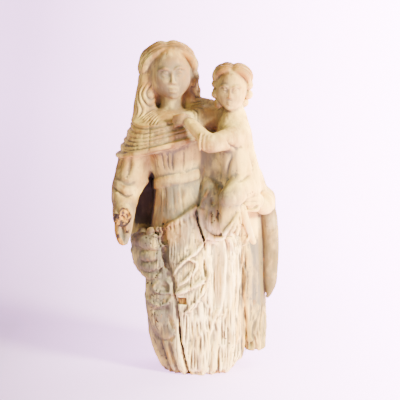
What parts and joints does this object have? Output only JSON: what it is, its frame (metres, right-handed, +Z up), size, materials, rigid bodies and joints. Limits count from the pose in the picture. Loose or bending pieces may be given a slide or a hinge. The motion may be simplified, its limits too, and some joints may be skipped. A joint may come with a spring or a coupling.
{
  "type": "mother and child statue",
  "caption": "Carved wooden standing mother in a cape and draped mantle, holding a child on one arm; worn, split and broken.",
  "frame": {"origin": "on the flat underside, under the middle of the figure", "axes": "+Z up the figure, +X to the viewer's right, +Y to the figure's back; the figure faces -Y"},
  "size_m": [0.2521, 0.1486, 0.4999],
  "materials": {
    "mother_and_child": "worn cream paint over bare wood, dry and matt"
  },
  "bodies": {
    "root": {"mother_and_child": "mother_and_child"}
  },
  "joints": []
}
